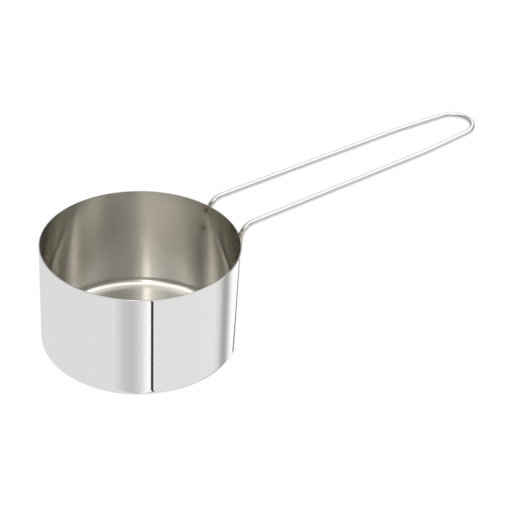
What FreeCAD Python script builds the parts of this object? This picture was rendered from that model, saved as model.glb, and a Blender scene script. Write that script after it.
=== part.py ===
import FreeCAD, Part
import math
import os

# A one-cup bar measure: a straight-sided cup drawn from stainless sheet, with a handle bent from
# one length of round wire and resistance-welded to the outside of the wall at four spots.
#
# Millimetres. The origin is the centre of the cup's flat base, +Z is up along the cup's axis and
# +X runs from the cup's axis to the closed end of the handle.

# Cup. It holds one US cup, 237 ml, when filled to 0.6 mm below the rim.
CUP_DIAMETER = 82.1         # outside the wall
CUP_HEIGHT = 47.4           # base to rim
WALL = 0.5                  # thickness of the wall
FLOOR = 0.9                 # thickness of the floor
BASE_CORNER = 3.7           # outside radius where the wall meets the base; WALL less inside
RIM_ROUND_OUTSIDE = 0.30    # rounding of the rim's outside edge
RIM_ROUND_INSIDE = 0.06     # rounding of its inside edge, which is only deburred

# Handle wire.
WIRE_DIAMETER = 2.4
LEG_GAP = 0.05              # between the wall and a leg, held off by the welds
LEG_ANGLE = 16.8            # each elbow's angle about the cup's axis, from the handle's direction
LEG_LEAN = 3.4              # both legs lean this many degrees about the axis, to the same side
LEG_END_DROP = 15.3         # cut end of each leg, below the rim
ELBOW_HEIGHT = 2.3          # elbow corner, above the rim
ELBOW_BEND = 6.5            # bend radius of the wire's centre line at the elbows
HANDLE_RISE = 5.2           # slope of the handle, in degrees
TAPER_X = 135.0             # the sides turn inwards here, measured from the cup's axis
TAPER_HALF_WIDTH = 10.8     # centre line to centre line, halved
TAPER_BEND = 150.0          # bend radius of that gentle turn
END_X = 166.4               # far end of the wire's centre line
END_HALF_WIDTH = 8.0        # half the distance between the corners that the end's arc rounds off
END_ROUND = 0.3             # rounding of the wire's two cut ends

# Weld nuggets: each is an upright slot shape through the wall and into the wire.
WELD_DROPS = {"upper": 2.3, "lower": 12.0}     # centres, below the rim
WELD_HEIGHT = 3.0
WELD_WIDTH = 1.5
WELD_DEPTH = 0.8            # how far a nugget runs into the wire, past the wall's outside

SIDES = {"left": 1, "right": -1}               # seen from the cup, looking along the handle

# Working allowances, which leave no mark on the finished shapes.
OVERCUT = 1.0               # a weld is cut from a blank that reaches this far inside the cup
SAME_LENGTH = 0.01          # two edge lengths this close are the same

OUTER_RADIUS = CUP_DIAMETER / 2
INNER_RADIUS = OUTER_RADIUS - WALL
WIRE_RADIUS = WIRE_DIAMETER / 2
LEG_RADIUS = OUTER_RADIUS + LEG_GAP + WIRE_RADIUS
UP = FreeCAD.Vector(0, 0, 1)


def arc_edge(start, middle, end):
    """Arc edge through three points."""
    return Part.Arc(start, middle, end).toShape()


def straight(start, end):
    """Straight edge between two points."""
    return Part.LineSegment(start, end).toShape()


def quarter_round(centre_r, centre_z, radius, from_degrees, to_degrees):
    """Arc edge in the XZ plane, used for the rounded corners of the cup's profile."""
    points = []
    for degrees in (from_degrees, (from_degrees + to_degrees) / 2, to_degrees):
        angle = math.radians(degrees)
        x = centre_r + radius * math.cos(angle)
        z = centre_z + radius * math.sin(angle)
        points.append(FreeCAD.Vector(x, 0, z))
    return arc_edge(*points)


def cup_shell():
    """The drawn cup: its half section, turned about the cup's axis."""
    inner_corner = BASE_CORNER - WALL
    corner_r = OUTER_RADIUS - BASE_CORNER
    rounds = [
        quarter_round(corner_r, BASE_CORNER, BASE_CORNER, -90, 0),
        quarter_round(OUTER_RADIUS - RIM_ROUND_OUTSIDE, CUP_HEIGHT - RIM_ROUND_OUTSIDE,
                      RIM_ROUND_OUTSIDE, 0, 90),
        quarter_round(INNER_RADIUS + RIM_ROUND_INSIDE, CUP_HEIGHT - RIM_ROUND_INSIDE,
                      RIM_ROUND_INSIDE, 90, 180),
        quarter_round(corner_r, FLOOR + inner_corner, inner_corner, 0, -90),
    ]
    edges = []
    last = FreeCAD.Vector(0, 0, 0)
    for arc in rounds:
        first_end, second_end = arc.valueAt(arc.FirstParameter), arc.valueAt(arc.LastParameter)
        edges.append(straight(last, first_end))
        edges.append(arc)
        last = second_end
    floor_centre = FreeCAD.Vector(0, 0, FLOOR)
    edges.append(straight(last, floor_centre))
    edges.append(straight(floor_centre, FreeCAD.Vector(0, 0, 0)))
    section = Part.Face(Part.Wire(edges))
    return section.revolve(FreeCAD.Vector(0, 0, 0), UP, 360)


def leg_angle(side, height):
    """Angle of a leg about the cup's axis at a height, in radians: the legs lean as they go down."""
    elbow_z = CUP_HEIGHT + ELBOW_HEIGHT
    end_z = CUP_HEIGHT - LEG_END_DROP
    down = (elbow_z - height) / (elbow_z - end_z)
    return math.radians(side * LEG_ANGLE + LEG_LEAN * down)


def round_point(radius, angle, height):
    """Point at a radius and angle about the cup's axis."""
    return FreeCAD.Vector(radius * math.cos(angle), radius * math.sin(angle), height)


def side_corners(side):
    """Corner points of one side of the handle, from the leg's cut end to the handle's far end."""
    end_z = CUP_HEIGHT - LEG_END_DROP
    elbow_z = CUP_HEIGHT + ELBOW_HEIGHT
    leg_end = round_point(LEG_RADIUS, leg_angle(side, end_z), end_z)
    elbow = round_point(LEG_RADIUS, leg_angle(side, elbow_z), elbow_z)
    slope = math.tan(math.radians(HANDLE_RISE))
    taper = FreeCAD.Vector(TAPER_X, side * TAPER_HALF_WIDTH, elbow_z + (TAPER_X - elbow.x) * slope)
    end = FreeCAD.Vector(END_X, side * END_HALF_WIDTH, elbow_z + (END_X - elbow.x) * slope)
    return [leg_end, elbow, taper, end]


def rounded_corner(before, corner, after, radius):
    """Start, middle and end of the arc that rounds a corner of a path."""
    back = (before - corner).normalize()
    ahead = (after - corner).normalize()
    half_angle = back.getAngle(ahead) / 2
    reach = radius / math.tan(half_angle)
    inwards = (back + ahead).normalize()
    middle = corner + inwards * (radius / math.sin(half_angle) - radius)
    return corner + back * reach, middle, corner + ahead * reach


def handle_path():
    """Centre line of the handle: straight runs joined by tangent arcs, one end arc on the axis."""
    left = side_corners(SIDES["left"])
    right = side_corners(SIDES["right"])
    apex = (left[3] + right[3]) * 0.5
    # The arc that meets the axis square on reaches as far back from each corner as the apex is.
    towards_taper = (left[2] - left[3]).normalize()
    half_angle = towards_taper.getAngle(apex - left[3]) / 2
    end_radius = END_HALF_WIDTH * math.tan(half_angle)
    arcs = [
        rounded_corner(left[0], left[1], left[2], ELBOW_BEND),
        rounded_corner(left[1], left[2], left[3], TAPER_BEND),
    ]
    left_start, _, _ = rounded_corner(left[2], left[3], apex, end_radius)
    _, _, right_end = rounded_corner(apex, right[3], right[2], end_radius)
    arcs.append((left_start, apex, right_end))
    arcs.append(rounded_corner(right[3], right[2], right[1], TAPER_BEND))
    arcs.append(rounded_corner(right[2], right[1], right[0], ELBOW_BEND))
    edges = []
    last = left[0]
    for start, middle, end in arcs:
        edges.append(straight(last, start))
        edges.append(arc_edge(start, middle, end))
        last = end
    edges.append(straight(last, right[0]))
    print("handle end radius", round(end_radius, 2))
    return Part.Wire(edges)


def handle_wire():
    """Round wire swept along the handle's centre line, with its two cut ends deburred."""
    path = handle_path()
    first = path.OrderedEdges[0]
    start = first.valueAt(first.FirstParameter)
    direction = first.tangentAt(first.FirstParameter)
    circle = Part.Wire([Part.makeCircle(WIRE_RADIUS, start, direction)])
    wire = path.makePipeShell([circle], True, True)
    expected = math.pi * WIRE_RADIUS ** 2 * path.Length
    print("wire volume", round(wire.Volume, 1), "section times length", round(expected, 1))
    end_z = CUP_HEIGHT - LEG_END_DROP
    cut_edges = [edge for edge in wire.Edges if edge.BoundBox.ZMax < end_z + WIRE_RADIUS
                 and abs(edge.Length - 2 * math.pi * WIRE_RADIUS) < SAME_LENGTH]
    return wire.makeFillet(END_ROUND, cut_edges)


def weld_nugget(side, drop):
    """Slot-shaped nugget from the inside face of the wall, through it, to inside the wire."""
    height = CUP_HEIGHT - drop
    angle = leg_angle(side, height)
    half_straight = (WELD_HEIGHT - WELD_WIDTH) / 2
    length = OVERCUT + WALL + WELD_DEPTH
    start_x = INNER_RADIUS - OVERCUT
    slot = Part.makeBox(length, WELD_WIDTH, 2 * half_straight,
                        FreeCAD.Vector(start_x, -WELD_WIDTH / 2, -half_straight))
    for end in (-half_straight, half_straight):
        rounded = Part.makeCylinder(WELD_WIDTH / 2, length, FreeCAD.Vector(start_x, 0, end),
                                    FreeCAD.Vector(1, 0, 0))
        slot = slot.fuse(rounded)
    slot = slot.removeSplitter()
    # The slot follows the leg: the leg's sideways travel down the slot's height sets the tilt.
    top = round_point(LEG_RADIUS, leg_angle(side, height + WELD_HEIGHT / 2), 0)
    bottom = round_point(LEG_RADIUS, leg_angle(side, height - WELD_HEIGHT / 2), 0)
    tilt = math.degrees(math.atan2((bottom - top).Length, WELD_HEIGHT))
    slot.rotate(FreeCAD.Vector(0, 0, 0), FreeCAD.Vector(1, 0, 0), tilt)
    slot.rotate(FreeCAD.Vector(0, 0, 0), UP, math.degrees(angle))
    slot.translate(FreeCAD.Vector(0, 0, height))
    bore = Part.makeCylinder(INNER_RADIUS, CUP_HEIGHT)
    return slot.cut(bore)


def one_solid(shape):
    """The single solid that a cut or a fillet leaves inside its compound."""
    solids = shape.Solids
    if len(solids) != 1:
        raise ValueError("expected one solid, found %d" % len(solids))
    return solids[0]


def main():
    nodes = {"cup_body": cup_shell(), "handle_wire": handle_wire()}
    for side_name, side in SIDES.items():
        for place, drop in WELD_DROPS.items():
            nugget = weld_nugget(side, drop)
            nodes["weld_%s_%s" % (side_name, place)] = nugget
            for piece in ("cup_body", "handle_wire"):
                nodes[piece] = nodes[piece].cut(nugget)
    os.makedirs("parts", exist_ok=True)
    for name, shape in nodes.items():
        solid = one_solid(shape)
        box = solid.BoundBox
        print(name, "volume", round(solid.Volume, 2), "valid", solid.isValid(),
              "x", round(box.XMin, 2), round(box.XMax, 2),
              "y", round(box.YMin, 2), round(box.YMax, 2),
              "z", round(box.ZMin, 2), round(box.ZMax, 2))
        solid.exportStep("parts/%s.step" % name)


main()
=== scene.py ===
import bpy
import bmesh
import math
from mathutils import Matrix, Vector


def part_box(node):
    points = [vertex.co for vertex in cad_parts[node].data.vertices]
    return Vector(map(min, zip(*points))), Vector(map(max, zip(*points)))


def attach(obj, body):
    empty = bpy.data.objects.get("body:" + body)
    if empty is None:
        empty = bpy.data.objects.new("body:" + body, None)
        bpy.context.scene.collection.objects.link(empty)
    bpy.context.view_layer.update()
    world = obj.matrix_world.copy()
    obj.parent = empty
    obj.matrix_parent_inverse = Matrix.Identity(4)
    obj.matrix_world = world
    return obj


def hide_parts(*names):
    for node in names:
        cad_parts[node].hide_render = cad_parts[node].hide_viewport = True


# The looks of a one-cup bar measure: a drawn steel cup, polished outside and satin inside, with a
# bright wire handle held by four resistance welds. Metres, in the frame of the CAD model: the cup
# stands on z = 0 round the Z axis, and the handle runs along +X.

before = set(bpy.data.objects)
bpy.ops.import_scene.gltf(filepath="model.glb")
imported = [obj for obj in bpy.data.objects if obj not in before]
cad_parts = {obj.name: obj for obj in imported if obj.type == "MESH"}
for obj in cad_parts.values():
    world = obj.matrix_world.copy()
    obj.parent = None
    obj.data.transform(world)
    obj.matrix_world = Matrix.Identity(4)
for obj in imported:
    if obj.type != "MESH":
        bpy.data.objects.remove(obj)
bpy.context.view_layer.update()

# Sizes of the cup that the frame's boxes don't give.
WALL = 0.0005                   # thickness of the wall
FLOOR = 0.0009                  # thickness of the floor
BASE_CORNER = 0.0037            # outside radius between the wall and the base
RIM_ROUND_OUTSIDE = 0.00030     # radius on the outside edge of the rim
RIM_ROUND_INSIDE = 0.00006      # radius on its inside edge
RIM_POLISHED_TO = 62            # degrees up the outside rounding that the polishing reached

# Fineness of the cup's mesh.
CUP_STEPS = 240                 # faces round the cup
CORNER_STEPS = 20               # faces across the corner at the base
RIM_STEPS = 5                   # faces across each rounding of the rim
LONGEST_FACE = 0.003            # along a straight run of the section

# Camera. At azimuth 0 it looks along +Y, and at 90 along -X. Angles are in degrees.
LENS = 129.1                    # focal length, in millimetres
SENSOR = 36.0                   # width, in millimetres
VIEW_AZIMUTH = -33.9
VIEW_ELEVATION = 33.04
VIEW_ROLL = 2.66
VIEW_DISTANCE = 0.7822          # from the point that the camera aims at
AIM = Vector((0.0560, -0.0009, 0.024))
NEAREST_SEEN = 0.05
FARTHEST_SEEN = 20

# Table that the cup stands on: far wider than the picture, and just below the base.
TABLE_WIDTH = 6
TABLE_DROP = 0.0002

# Heat tints: distances from a weld's centre where each starts to fade and where it ends.
INSIDE_TINT = (0.0008, 0.0042)
STRAW_TINT = (0.0020, 0.0075)
BROWN_TINT = (0.0012, 0.0026)

# Fine lines: how much of a sideways move their noise takes in, so that they run long.
POLISHING_STRETCH = 0.02        # round the cup
DRAWING_STRETCH = 0.05          # along the wire
WEAR_TOP = 0.002                # height that the scuffed band at the base reaches

GLOSSY_BOUNCES = 12             # light bounces many times round the inside of a polished cup

SIDES = ("left", "right")
WELD_PLACES = ("upper", "lower")


def centre_of(node):
    """Middle of a CAD node's box."""
    low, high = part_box(node)
    return (low + high) / 2


def weld_node(side, place):
    return "weld_%s_%s" % (side, place)


# ---------------------------------------------------------------- node trees

class Nodes:
    """A node tree, with short calls for the nodes that the materials and the studio use."""

    def __init__(self, tree):
        self.tree = tree

    def node(self, kind, **settings):
        made = self.tree.nodes.new(kind)
        for key, value in settings.items():
            setattr(made, key, value)
        return made

    def plug(self, source, target):
        """Link a node's output to a socket, or set the socket when the source is a plain value."""
        if isinstance(source, (int, float)):
            target.default_value = source
        elif isinstance(source, (tuple, Vector)):
            target.default_value = tuple(source)
        else:
            self.tree.links.new(source, target)

    def math(self, operation, first, second=0.0, third=0.0, clamp=False):
        made = self.node("ShaderNodeMath", operation=operation, use_clamp=clamp)
        for value, socket in zip((first, second, third), made.inputs):
            self.plug(value, socket)
        return made.outputs[0]

    def distance(self, first, second):
        made = self.node("ShaderNodeVectorMath", operation="DISTANCE")
        self.plug(first, made.inputs[0])
        self.plug(second, made.inputs[1])
        return made.outputs["Value"]

    def place(self):
        """Position on the object, in metres in the shared frame."""
        return self.node("ShaderNodeTexCoord").outputs["Object"]

    def split(self, vector):
        made = self.node("ShaderNodeSeparateXYZ")
        self.plug(vector, made.inputs[0])
        return made.outputs

    def join(self, x, y, z):
        made = self.node("ShaderNodeCombineXYZ")
        for value, socket in zip((x, y, z), made.inputs):
            self.plug(value, socket)
        return made.outputs[0]

    def noise(self, vector, scale, detail=2.0, roughness=0.5):
        made = self.node("ShaderNodeTexNoise")
        self.plug(vector, made.inputs["Vector"])
        made.inputs["Scale"].default_value = scale
        made.inputs["Detail"].default_value = detail
        made.inputs["Roughness"].default_value = roughness
        return made.outputs[0]

    def remap(self, value, from_low, from_high, to_low, to_high, smooth=False):
        made = self.node("ShaderNodeMapRange", interpolation_type="SMOOTHSTEP" if smooth else "LINEAR")
        for number, socket in zip((value, from_low, from_high, to_low, to_high), made.inputs):
            self.plug(number, socket)
        return made.outputs[0]

    def blend(self, factor, first, second):
        """Mix of two colours."""
        made = self.node("ShaderNodeMix", data_type="RGBA")
        self.plug(factor, made.inputs["Factor"])
        self.plug(first, made.inputs[6])
        self.plug(second, made.inputs[7])
        return made.outputs[2]

    def fade(self, factor, first, second):
        """Mix of two numbers."""
        made = self.node("ShaderNodeMix", data_type="FLOAT")
        self.plug(factor, made.inputs["Factor"])
        self.plug(first, made.inputs[2])
        self.plug(second, made.inputs[3])
        return made.outputs[0]

    def bump(self, height, distance):
        made = self.node("ShaderNodeBump")
        made.inputs["Distance"].default_value = distance
        self.plug(height, made.inputs["Height"])
        return made.outputs[0]


class Steel(Nodes):
    """A metal material. Its colour, roughness and normal are plugged into its surface's sockets."""

    def __init__(self, name):
        self.material = bpy.data.materials.new(name)
        self.material.use_nodes = True
        super().__init__(self.material.node_tree)
        self.surface = self.tree.nodes["Principled BSDF"].inputs
        self.surface["Metallic"].default_value = 1

    def near_welds(self, reach_full, reach_none):
        """1 within the first distance of a weld's centre, fading to 0 at the second."""
        spot = self.place()
        nearest = None
        for side in SIDES:
            for place in WELD_PLACES:
                away = self.distance(spot, centre_of(weld_node(side, place)))
                nearest = away if nearest is None else self.math("MINIMUM", nearest, away)
        return self.remap(nearest, reach_full, reach_none, 1.0, 0.0, smooth=True)


# ---------------------------------------------------------------- materials

def outer_steel():
    """Mirror-polished outside of the cup: faint polishing lines round it and a trace of haze."""
    s = Steel("outer_steel")
    spot = s.place()
    x, y, z = s.split(spot)
    x_less = s.math("MULTIPLY", x, POLISHING_STRETCH)
    y_less = s.math("MULTIPLY", y, POLISHING_STRETCH)
    lines = s.noise(s.join(x_less, y_less, z), 2500, 3.0)
    haze = s.noise(spot, 55, 4.0)
    wear = s.math("MULTIPLY", s.remap(z, 0.0, WEAR_TOP, 1.0, 0.0), s.noise(spot, 900, 3.0))
    polish = s.remap(haze, 0.3, 0.7, 0.03, 0.05)
    s.plug(s.math("MULTIPLY_ADD", wear, 0.25, polish), s.surface["Roughness"])
    s.plug(s.blend(haze, (0.70, 0.70, 0.69, 1), (0.72, 0.72, 0.71, 1)), s.surface["Base Color"])
    s.plug(s.bump(lines, 0.0000001), s.surface["Normal"])
    return s.material


def inner_steel():
    """Satin inside of the cup: polished round the axis, so light smears up the wall and along the floor."""
    s = Steel("inner_steel")
    spot = s.place()
    x, y, z = s.split(spot)
    radius = s.distance(s.join(x, y, 0.0), (0.0, 0.0, 0.0))
    lines = s.noise(s.join(radius, 0.0, z), 1100, 2.0)
    cloud = s.noise(spot, 90, 3.0)
    clean = s.blend(cloud, (0.655, 0.64, 0.595, 1), (0.675, 0.66, 0.615, 1))
    tinted = s.blend(s.near_welds(*INSIDE_TINT), clean, (0.57, 0.53, 0.45, 1))
    s.plug(tinted, s.surface["Base Color"])
    s.plug(s.math("MULTIPLY_ADD", lines, 0.03, s.remap(cloud, 0.3, 0.7, 0.145, 0.16)),
           s.surface["Roughness"])
    s.surface["Anisotropic"].default_value = 0.97
    s.surface["Anisotropic Rotation"].default_value = 0.25
    round_axis = s.node("ShaderNodeTangent", direction_type="RADIAL", axis="Z")
    s.plug(round_axis.outputs[0], s.surface["Tangent"])
    return s.material


def rim_steel_painted_shade():
    """Trimmed edge of the sheet: brushed and unpolished, and much darker than the faces beside it because a
    dark edge line is painted into its colour as painted shade.
    """
    s = Steel("rim_steel_painted_shade")
    grain = s.noise(s.place(), 2500, 3.0)
    s.plug(s.remap(grain, 0.3, 0.7, 0.35, 0.48), s.surface["Roughness"])
    # Painted shade: the edge's reflections are tinted dark, so it stays dark where it is seen at a glancing
    # angle.
    s.surface["Specular Tint"].default_value = (0.35, 0.35, 0.34, 1)
    # Painted shade: a base colour far darker than steel, standing in for the dark line along the rim.
    s.plug(s.blend(grain, (0.20, 0.195, 0.18, 1), (0.28, 0.27, 0.25, 1)), s.surface["Base Color"])
    return s.material


def wire_steel():
    """Satin drawn wire, straw-coloured by the heat where it is welded."""
    s = Steel("wire_steel")
    spot = s.place()
    x, y, z = s.split(spot)
    drawn = s.noise(s.join(s.math("MULTIPLY", x, DRAWING_STRETCH), y, z), 3000, 3.0)
    patch = s.noise(spot, 300, 3.0)
    clean = s.blend(patch, (0.60, 0.60, 0.59, 1), (0.66, 0.66, 0.65, 1))
    straw = s.blend(s.near_welds(*STRAW_TINT), clean, (0.60, 0.59, 0.51, 1))
    brown = s.blend(s.near_welds(*BROWN_TINT), straw, (0.40, 0.365, 0.28, 1))
    s.plug(brown, s.surface["Base Color"])
    s.plug(s.remap(patch, 0.3, 0.7, 0.24, 0.32), s.surface["Roughness"])
    s.plug(s.bump(drawn, 0.0000004), s.surface["Normal"])
    return s.material


def weld_steel():
    """Fused metal of a resistance weld: dull, scaly and oxidised brown."""
    s = Steel("weld_steel")
    scale = s.noise(s.place(), 1800, 4.0)
    s.plug(s.blend(scale, (0.24, 0.215, 0.145, 1), (0.43, 0.39, 0.27, 1)), s.surface["Base Color"])
    s.plug(s.remap(scale, 0.3, 0.7, 0.35, 0.55), s.surface["Roughness"])
    s.plug(s.bump(scale, 0.00003), s.surface["Normal"])
    return s.material


# ---------------------------------------------------------------- the cup

def arc_points(centre_r, centre_z, radius, from_degrees, to_degrees, steps):
    """Points (r, z) along an arc of the cup's section, both ends included."""
    points = []
    for step in range(steps + 1):
        angle = math.radians(from_degrees + (to_degrees - from_degrees) * step / steps)
        points.append((centre_r + radius * math.cos(angle), centre_z + radius * math.sin(angle)))
    return points


def run_points(start, end):
    """Points inside a straight run of the section: one close to each end, and even steps between."""
    start, end = Vector(start), Vector(end)
    length = (end - start).length
    support = min(WALL / 2, length / 4)
    steps = max(1, math.ceil((length - 2 * support) / LONGEST_FACE))
    places = [support + (length - 2 * support) * step / steps for step in range(steps + 1)]
    return [tuple(start + (end - start) * (place / length)) for place in places]


def cup_section(outer_radius, height):
    """The cup's half section as rows (r, z, finish), from the base's centre round to the floor's."""
    corner_r = outer_radius - BASE_CORNER
    inner_corner = BASE_CORNER - WALL
    inner_radius = outer_radius - WALL
    outer_round, inner_round = RIM_ROUND_OUTSIDE, RIM_ROUND_INSIDE
    arcs = [
        ("outer", "outer", arc_points(corner_r, BASE_CORNER, BASE_CORNER, -90, 0, CORNER_STEPS)),
        ("outer", "outer", arc_points(outer_radius - outer_round, height - outer_round,
                                      outer_round, 0, RIM_POLISHED_TO, RIM_STEPS)),
        (None, "rim", arc_points(outer_radius - outer_round, height - outer_round,
                                 outer_round, RIM_POLISHED_TO, 90, RIM_STEPS)),
        ("rim", "rim", arc_points(inner_radius + inner_round, height - inner_round,
                                  inner_round, 90, 180, RIM_STEPS)),
        ("inner", "inner", arc_points(corner_r, FLOOR + inner_corner, inner_corner, 0, -90, CORNER_STEPS)),
    ]
    rows = [(0.0, 0.0, "outer")]
    last = (0.0, 0.0)
    for run_finish, arc_finish, points in arcs:
        if run_finish:
            rows += [(r, z, run_finish) for r, z in run_points(last, points[0])]
        else:
            # This arc carries straight on from the one before, so its first point is there already.
            points = points[1:]
        rows += [(r, z, arc_finish) for r, z in points]
        last = points[-1]
    floor_centre = (0.0, FLOOR)
    rows += [(r, z, "inner") for r, z in run_points(last, floor_centre)]
    rows.append((*floor_centre, "inner"))
    return rows


def finish_mesh(name, bm, materials):
    """Object with smooth faces from a bmesh."""
    for face in bm.faces:
        face.smooth = True
    mesh = bpy.data.meshes.new(name)
    bm.to_mesh(mesh)
    bm.free()
    for material in materials:
        mesh.materials.append(material)
    made = bpy.data.objects.new(name, mesh)
    bpy.context.scene.collection.objects.link(made)
    return made


def make_cup():
    """The cup, turned from its section. The first and last rows of the section lie on the axis."""
    _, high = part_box("cup_body")
    rows = cup_section(high.x, high.z)
    materials = {"outer": outer_steel(), "inner": inner_steel(), "rim": rim_steel_painted_shade()}
    finishes = list(materials)
    bm = bmesh.new()
    rings = []
    for r, z, _ in rows[1:-1]:
        angles = [2 * math.pi * step / CUP_STEPS for step in range(CUP_STEPS)]
        rings.append([bm.verts.new((r * math.cos(angle), r * math.sin(angle), z)) for angle in angles])
    base_centre = bm.verts.new((0, 0, rows[0][1]))
    floor_centre = bm.verts.new((0, 0, rows[-1][1]))
    for step in range(CUP_STEPS):
        after = (step + 1) % CUP_STEPS
        base = bm.faces.new((base_centre, rings[0][after], rings[0][step]))
        base.material_index = finishes.index(rows[0][2])
        for ring, following, row in zip(rings, rings[1:], rows[2:]):
            face = bm.faces.new((ring[step], ring[after], following[after], following[step]))
            face.material_index = finishes.index(row[2])
        floor = bm.faces.new((rings[-1][step], rings[-1][after], floor_centre))
        floor.material_index = finishes.index(rows[-1][2])
    cup = finish_mesh("cup", bm, materials.values())
    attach(cup, "root")
    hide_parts("cup_body")
    return high.x


# ---------------------------------------------------------------- the welds

WELD_HALF_WIDTH = 0.00090
WELD_HALF_HEIGHT = 0.00155
WELD_STEPS = 40                 # points round a weld
WELD_CORNERS = 2.6              # superellipse power: 2 is an ellipse, more is squarer

# A weld's body from inside the cup outwards, as (distance from the wall's inside face, share of
# its half width and height): the dimple that the electrode leaves, its raised edge, the neck
# through the wall, the bead squeezed out against the wire, and the root inside the wire.
WELD_SHAPE = [
    (-0.00004, 0.45), (-0.00009, 0.70), (-0.00011, 0.84), (-0.00007, 0.96), (0.00002, 1.00),
    (0.00045, 0.90), (0.00049, 1.12), (0.00058, 1.02), (0.00075, 0.84), (0.00105, 0.62),
]
WELD_DIMPLE = -0.00002          # middle of the dimple
WELD_ROOT = 0.00115             # deepest point, inside the wire


def make_weld(side, place, upright, wall_radius, material):
    node = weld_node(side, place)
    centre = centre_of(node)
    angle = math.atan2(centre.y, centre.x)
    outwards = Vector((math.cos(angle), math.sin(angle), 0))
    sideways = outwards.cross(upright).normalized()
    face = outwards * wall_radius + Vector((0, 0, centre.z))
    bm = bmesh.new()
    rings = []
    for depth, share in WELD_SHAPE:
        ring = []
        for step in range(WELD_STEPS):
            turn = 2 * math.pi * step / WELD_STEPS
            across = math.copysign(abs(math.cos(turn)) ** (2 / WELD_CORNERS), math.cos(turn))
            up = math.copysign(abs(math.sin(turn)) ** (2 / WELD_CORNERS), math.sin(turn))
            spot = face + outwards * depth + sideways * (across * share * WELD_HALF_WIDTH)
            ring.append(bm.verts.new(spot + upright * (up * share * WELD_HALF_HEIGHT)))
        rings.append(ring)
    dimple = bm.verts.new(face + outwards * WELD_DIMPLE)
    root = bm.verts.new(face + outwards * WELD_ROOT)
    for step in range(WELD_STEPS):
        after = (step + 1) % WELD_STEPS
        bm.faces.new((dimple, rings[0][step], rings[0][after]))
        for ring, following in zip(rings, rings[1:]):
            bm.faces.new((ring[step], following[step], following[after], ring[after]))
        bm.faces.new((rings[-1][step], root, rings[-1][after]))
    bmesh.ops.recalc_face_normals(bm, faces=bm.faces)
    weld = finish_mesh("bead_%s_%s" % (side, place), bm, [material])
    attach(weld, "root")
    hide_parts(node)


def make_welds(outer_radius):
    material = weld_steel()
    for side in SIDES:
        # The two welds of a side lie along its leg, which leans a little.
        upright = (centre_of(weld_node(side, "upper")) - centre_of(weld_node(side, "lower"))).normalized()
        for place in WELD_PLACES:
            make_weld(side, place, upright, outer_radius - WALL, material)


def dress_wire():
    """The handle keeps its CAD shape and gets its own material."""
    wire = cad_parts["handle_wire"]
    wire.data.materials.clear()
    wire.data.materials.append(wire_steel())


# ---------------------------------------------------------------- stage

def make_camera():
    azimuth = math.radians(VIEW_AZIMUTH)
    elevation = math.radians(VIEW_ELEVATION)
    back = Vector((math.sin(azimuth) * math.cos(elevation),
                   -math.cos(azimuth) * math.cos(elevation),
                   math.sin(elevation)))
    data = bpy.data.cameras.new("camera")
    data.lens = LENS
    data.sensor_width = SENSOR
    data.clip_start = NEAREST_SEEN
    data.clip_end = FARTHEST_SEEN
    camera = bpy.data.objects.new("camera", data)
    level = (-back).to_track_quat("-Z", "Y").to_matrix()
    turned = level @ Matrix.Rotation(math.radians(VIEW_ROLL), 3, "Z")
    camera.matrix_world = Matrix.Translation(AIM + back * VIEW_DISTANCE) @ turned.to_4x4()
    bpy.context.scene.collection.objects.link(camera)
    bpy.context.scene.camera = camera


def make_floor():
    """White table, lit evenly from within. Steel doesn't mirror it: it mirrors the studio around it."""
    bpy.ops.mesh.primitive_plane_add(size=TABLE_WIDTH, location=(0, 0, -TABLE_DROP))
    floor = bpy.context.object
    floor.name = "floor"
    material = bpy.data.materials.new("floor")
    material.use_nodes = True
    surface = material.node_tree.nodes["Principled BSDF"].inputs
    surface["Base Color"].default_value = (0, 0, 0, 1)
    surface["Specular IOR Level"].default_value = 0
    surface["Emission Color"].default_value = (1, 1, 1, 1)
    surface["Emission Strength"].default_value = 1.0
    floor.data.materials.append(material)
    floor.visible_glossy = False


# The studio that the steel mirrors, as rings of light levels. Each ring lists stops of
# (degrees about +Z, level) and blends evenly between them.
PEAK = 4.0                      # highest level that a ring can hold
TABLE_RING = [                  # seen in the outside of the wall
    (-180, 1.0), (-149, 1.0), (-137, 0.76), (-127, 0.73), (-118, 0.97), (-110, 1.36), (-108, 1.36),
    (-103, 1.04), (-60, 1.04), (-25, 1.06), (-17, 0.93), (-9, 0.56), (-5, 0.51), (0, 0.60),
    (9, 1.16), (16, 1.32), (35, 1.25), (55, 0.96), (75, 0.77), (92, 0.87), (104, 0.93), (122, 0.97),
    (150, 0.99), (180, 1.0),
]
SKY_RINGS = [                   # (middle elevation in degrees, stops), mirrored by the inside
    (7, [(-180, 0.0), (-165, 0.05), (-135, 0.4), (-110, 0.5), (-50, 0.6), (-15, 0.2), (0, 0.2), (45, 0.75),
         (60, 0.6), (85, 0.4), (120, 0.47), (150, 0.08), (180, 0.0)]),
    (22, [(-180, 0.05), (-155, 0.0), (-130, 1.5), (-112, 1.25), (-95, 0.25), (-45, 1.25), (-10, 0.0),
          (10, 0.0), (50, 1.15), (65, 1.0), (87, 0.45), (135, 0.75), (180, 0.05)]),
    (37, [(-180, 1.0), (-157, 0.8), (-137, 1.8), (-133, 2.3), (-130, 4.0), (-125.5, 4.0), (-121, 1.4),
          (-110, 0.55), (-82, 0.18), (-7, 1.55), (37, 2.3), (75, 1.1), (125, 0.3), (157, 0.5), (180, 1.0)]),
    (52, [(-180, 2.35), (-112, 0.3), (-52, 2.0), (-7, 2.7), (65, 0.5), (115, 0.5), (140, 1.1),
          (180, 2.35)]),
]
ZENITH_LEVEL = 1.64
ZENITH_FROM = 60                # elevation where the top of the sky turns even
TABLE_TOP = -10                 # elevation where the table starts to blend into the lowest sky ring

# Narrow black flags over the table: (degrees from, to, lean, softness, level). Lean is how far the
# flag moves round for a change of one in the direction's Z.
FLAG_HEIGHT = -0.573            # a direction's Z where the flags' degrees hold
FLAGS = [(-107.45, -104.55, -22, 0.4, 0.04), (24.5, 29.5, 323, 1.5, 0.25)]


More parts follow.
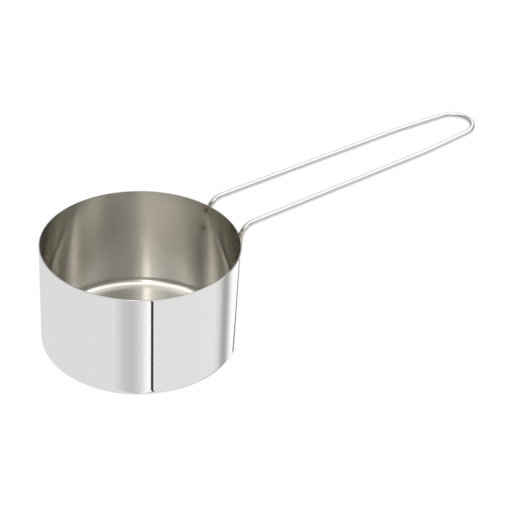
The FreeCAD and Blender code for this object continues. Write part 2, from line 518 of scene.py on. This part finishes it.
class Studio(Nodes):
    def __init__(self, world):
        super().__init__(world.node_tree)
        direction = self.node("ShaderNodeTexCoord").outputs["Generated"]
        x, y, self.height = self.split(direction)
        self.degrees = self.math("DEGREES", self.math("ARCTAN2", y, x))
        self.elevation = self.math("DEGREES", self.math("ARCSINE", self.height))

    def ring(self, stops):
        """Light level round the horizon, from a list of stops."""
        made = self.node("ShaderNodeValToRGB")
        elements = made.color_ramp.elements
        for index, (degrees, level) in enumerate(stops):
            place = (degrees + 180) / 360
            # A new ramp has two stops already.
            stop = elements[index] if index < 2 else elements.new(place)
            stop.position = place
            stop.color = (level / PEAK, level / PEAK, level / PEAK, 1)
        self.plug(self.remap(self.degrees, -180, 180, 0, 1), made.inputs[0])
        return self.math("MULTIPLY", made.outputs[0], PEAK)

    def flag(self, level, first, last, lean, softness, dark):
        moved = self.math("MULTIPLY", self.math("SUBTRACT", self.height, FLAG_HEIGHT), lean)
        place = self.math("SUBTRACT", self.degrees, moved)
        begun = self.remap(place, first - softness / 2, first + softness / 2, 0, 1, smooth=True)
        over = self.remap(place, last - softness / 2, last + softness / 2, 1, 0, smooth=True)
        return self.fade(self.math("MULTIPLY", begun, over), level, dark)


def make_studio():
    world = bpy.data.worlds.new("studio")
    bpy.context.scene.world = world
    world.use_nodes = True
    s = Studio(world)
    table = s.ring(TABLE_RING)
    for flag in FLAGS:
        table = s.flag(table, *flag)
    sky = table
    last = TABLE_TOP
    for elevation, stops in SKY_RINGS:
        sky = s.fade(s.remap(s.elevation, last, elevation, 0, 1), sky, s.ring(stops))
        last = elevation
    sky = s.fade(s.remap(s.elevation, last, ZENITH_FROM, 0, 1), sky, ZENITH_LEVEL)
    background = s.tree.nodes["Background"]
    background.inputs["Color"].default_value = (1, 1, 1, 1)
    s.plug(sky, background.inputs["Strength"])
    backdrop = s.node("ShaderNodeBackground")
    backdrop.inputs["Color"].default_value = (1, 1, 1, 1)
    choose = s.node("ShaderNodeMixShader")
    s.plug(s.node("ShaderNodeLightPath").outputs["Is Camera Ray"], choose.inputs[0])
    s.plug(background.outputs[0], choose.inputs[1])
    s.plug(backdrop.outputs[0], choose.inputs[2])
    s.plug(choose.outputs[0], s.tree.nodes["World Output"].inputs["Surface"])
    bpy.context.scene.view_settings.view_transform = "Standard"
    bpy.context.scene.cycles.glossy_bounces = GLOSSY_BOUNCES
    # Steel this smooth passes the denoiser a noisy guide of normals, so it gets only the colours.
    bpy.context.scene.cycles.denoising_input_passes = "RGB_ALBEDO"


make_camera()
make_floor()
make_studio()
cup_radius = make_cup()
make_welds(cup_radius)
dress_wire()
